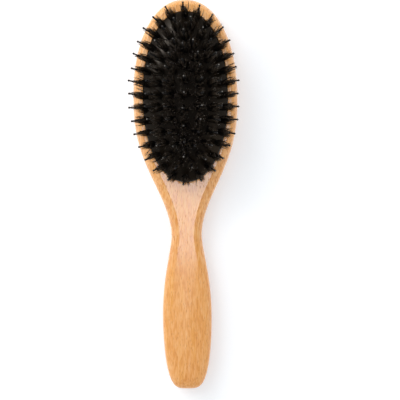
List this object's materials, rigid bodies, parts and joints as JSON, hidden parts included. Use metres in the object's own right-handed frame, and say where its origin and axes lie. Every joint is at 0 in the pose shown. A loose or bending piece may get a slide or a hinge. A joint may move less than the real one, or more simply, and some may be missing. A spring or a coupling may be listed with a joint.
{
  "type": "cushion hairbrush",
  "caption": "Oval beech hairbrush with a domed black rubber air cushion and tufts of black bristles, each round a longer ball-tipped pin, for brushing and detangling hair.",
  "frame": {"origin": "under the middle of the brush, on the surface that the flat of its back lies on", "axes": "+Z the way the bristles point, +Y from the handle to the tip of the head, +X across"},
  "size_m": [0.0624, 0.225, 0.0401],
  "materials": {
    "beech": "satin oiled beech",
    "cushion_rubber": "matte",
    "bristle": "dark boar bristle and glossy nylon pins"
  },
  "bodies": {
    "paddle": {"beech_paddle": "beech", "rubber_cushion": "cushion_rubber"},
    "crown_tufts": {"centre_tuft_02": "bristle", "centre_tuft_04": "bristle", "centre_tuft_06": "bristle", "crown_tuft_01": "bristle", "crown_tuft_03": "bristle", "crown_tuft_05": "bristle", "crown_tuft_07": "bristle", "crown_tuft_09": "bristle", "crown_tuft_11": "bristle", "crown_tuft_13": "bristle", "crown_tuft_15": "bristle", "crown_tuft_17": "bristle", "crown_tuft_19": "bristle"},
    "middle_tufts": {"middle_tuft_01": "bristle", "middle_tuft_03": "bristle", "middle_tuft_05": "bristle", "middle_tuft_07": "bristle", "middle_tuft_09": "bristle", "middle_tuft_11": "bristle", "middle_tuft_13": "bristle", "middle_tuft_15": "bristle", "middle_tuft_17": "bristle", "middle_tuft_19": "bristle", "middle_tuft_21": "bristle", "middle_tuft_23": "bristle", "middle_tuft_25": "bristle"},
    "rim_tufts": {"rim_tuft_01": "bristle", "rim_tuft_02": "bristle", "rim_tuft_03": "bristle", "rim_tuft_04": "bristle", "rim_tuft_05": "bristle", "rim_tuft_06": "bristle", "rim_tuft_07": "bristle", "rim_tuft_08": "bristle", "rim_tuft_09": "bristle", "rim_tuft_10": "bristle", "rim_tuft_11": "bristle", "rim_tuft_12": "bristle", "rim_tuft_13": "bristle", "rim_tuft_14": "bristle", "rim_tuft_15": "bristle", "rim_tuft_16": "bristle", "rim_tuft_17": "bristle", "rim_tuft_18": "bristle", "rim_tuft_19": "bristle", "rim_tuft_20": "bristle", "rim_tuft_21": "bristle", "rim_tuft_22": "bristle", "rim_tuft_23": "bristle", "rim_tuft_24": "bristle", "rim_tuft_25": "bristle", "rim_tuft_26": "bristle", "rim_tuft_27": "bristle", "rim_tuft_28": "bristle", "rim_tuft_29": "bristle", "rim_tuft_30": "bristle", "rim_tuft_31": "bristle", "rim_tuft_32": "bristle"}
  },
  "joints": [
    {"name": "crown_press", "type": "slide", "parent": "paddle", "child": "crown_tufts", "axis": [0, 0, -1], "range_m": [0, 0.0032], "stiffness_N_per_m": 1500, "deforming": ["rubber_cushion"]},
    {"name": "middle_press", "type": "slide", "parent": "paddle", "child": "middle_tufts", "axis": [0, 0, -1], "range_m": [0, 0.00192], "stiffness_N_per_m": 1500},
    {"name": "rim_press", "type": "slide", "parent": "paddle", "child": "rim_tufts", "axis": [0, 0, -1], "range_m": [0, 0.00064], "stiffness_N_per_m": 1500}
  ],
  "couplings": [
    {"joint": "middle_press", "follows": "crown_press", "ratio": 0.6},
    {"joint": "rim_press", "follows": "crown_press", "ratio": 0.2}
  ]
}
